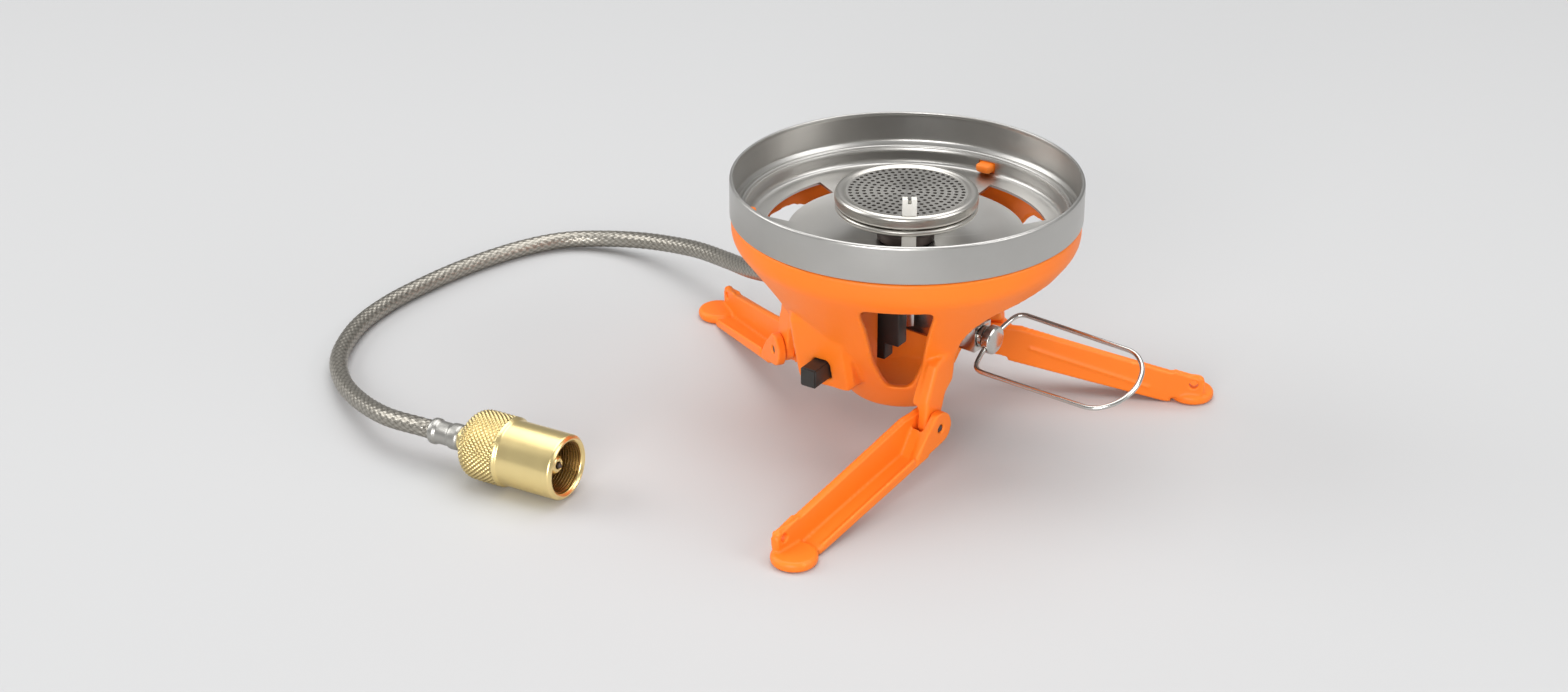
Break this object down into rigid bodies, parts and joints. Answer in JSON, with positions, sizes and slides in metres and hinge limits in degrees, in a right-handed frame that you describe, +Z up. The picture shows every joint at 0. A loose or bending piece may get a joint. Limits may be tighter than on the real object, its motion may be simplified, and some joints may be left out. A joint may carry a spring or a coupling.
{
  "type": "camping stove",
  "caption": "Folding remote-canister gas stove: pot ring over a perforated burner, funnel casing on folding legs, wire valve handle, push igniter, braided hose to a threaded connector.",
  "frame": {"origin": "on the burner's axis, at the flat underside of the casing's cup, 12 mm above the surface that the open legs stand on", "axes": "+Z up along the burner's axis, towards the pot ring; +X along the valve stem, towards its wire handle"},
  "size_m": [0.2736, 0.1995, 0.0836],
  "materials": {
    "brushed_steel": "brushed",
    "bright_steel": "bright",
    "orange_plastic": "satin",
    "black_plastic": "satin",
    "brass": "machined",
    "ceramic": "glazed",
    "seal_rubber": "matte",
    "braided_steel": "braided"
  },
  "bodies": {
    "stove": {"pot_ring": "brushed_steel", "casing": "orange_plastic", "burner_cap": "brushed_steel", "burner_cup": "brushed_steel", "mixing_tube": "bright_steel", "burner_nut": "bright_steel", "jet": "brass", "electrode_insulator": "ceramic", "electrode": "bright_steel", "spark_module": "black_plastic", "ignition_lead": "seal_rubber", "valve_body": "bright_steel", "lock_screw": "black_plastic", "stem_seal": "seal_rubber", "stem_gland": "bright_steel", "hose_inlet": "brass", "valve_ferrule": "bright_steel", "hose": "braided_steel", "nut_ferrule": "bright_steel", "connector_core": "brass", "connector_seal": "seal_rubber", "valve_pin": "bright_steel"},
    "rear_leg": {"leg_rear": "orange_plastic", "hinge_pin_rear": "bright_steel"},
    "front_leg": {"leg_front": "orange_plastic", "hinge_pin_front": "bright_steel"},
    "right_leg": {"leg_right": "orange_plastic", "hinge_pin_right": "bright_steel"},
    "stem": {"valve_stem": "bright_steel", "stem_disc": "bright_steel"},
    "handle": {"wire_handle": "bright_steel"},
    "button": {"igniter_button": "black_plastic"},
    "nut": {"connector_nut": "brass"}
  },
  "joints": [
    {"name": "rear_leg_fold", "type": "hinge", "parent": "stove", "child": "rear_leg", "pos_m": [-0.03703, -0.01222, 0.0059], "axis": [-0.5135, -0.8581, 0], "range_deg": [0, 155]},
    {"name": "front_leg_fold", "type": "hinge", "parent": "stove", "child": "front_leg", "pos_m": [0.0291, -0.02596, 0.0059], "axis": [0.9999, -0.0157, 0], "range_deg": [0, 155]},
    {"name": "right_leg_fold", "type": "hinge", "parent": "stove", "child": "right_leg", "pos_m": [0.00793, 0.03818, 0.0059], "axis": [-0.4863, 0.8738, 0], "range_deg": [0, 155]},
    {"name": "valve_turn", "type": "hinge", "parent": "stove", "child": "stem", "pos_m": [0.0334, 0, 0.0258], "axis": [1, 0, 0], "range_deg": [0, 450]},
    {"name": "handle_fold", "type": "hinge", "parent": "stem", "child": "handle", "pos_m": [0.0334, 0, 0.0258], "axis": [0, 0.9205, 0.3907], "range_deg": [-40, 52]},
    {"name": "button_press", "type": "slide", "parent": "stove", "child": "button", "axis": [-0.108, 0.9942, 0], "range_m": [0, 0.005], "stiffness_N_per_m": 1200, "springref_m": -0.004},
    {"name": "nut_spin", "type": "hinge", "parent": "stove", "child": "nut", "pos_m": [-0.0823, -0.1115, -0.0011], "axis": [0.9854, 0.1702, 0], "continuous": true}
  ]
}
